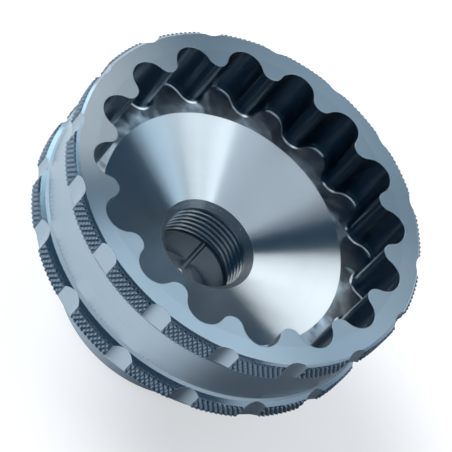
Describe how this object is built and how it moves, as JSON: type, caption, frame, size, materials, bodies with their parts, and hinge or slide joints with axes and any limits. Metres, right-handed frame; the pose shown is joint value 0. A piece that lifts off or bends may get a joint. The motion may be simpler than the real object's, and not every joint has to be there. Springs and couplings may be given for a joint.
{
  "type": "bottom bracket tool",
  "caption": "Cup-shaped bottom bracket tool with a notched socket, finger scallops and knurled grip rings, a threaded centre hole and a square drive in its hub.",
  "frame": {"origin": "middle of the hub's flat end, which the tool stands on", "axes": "+Z is the turning axis, from the drive end up to the notched face; a tooth lies on +X and on +Y, and the flats of the square drive face X and Y"},
  "size_m": [0.0536, 0.0536, 0.03],
  "materials": {
    "tool_body": "satin"
  },
  "bodies": {
    "root": {"tool_body": "tool_body"}
  },
  "joints": []
}
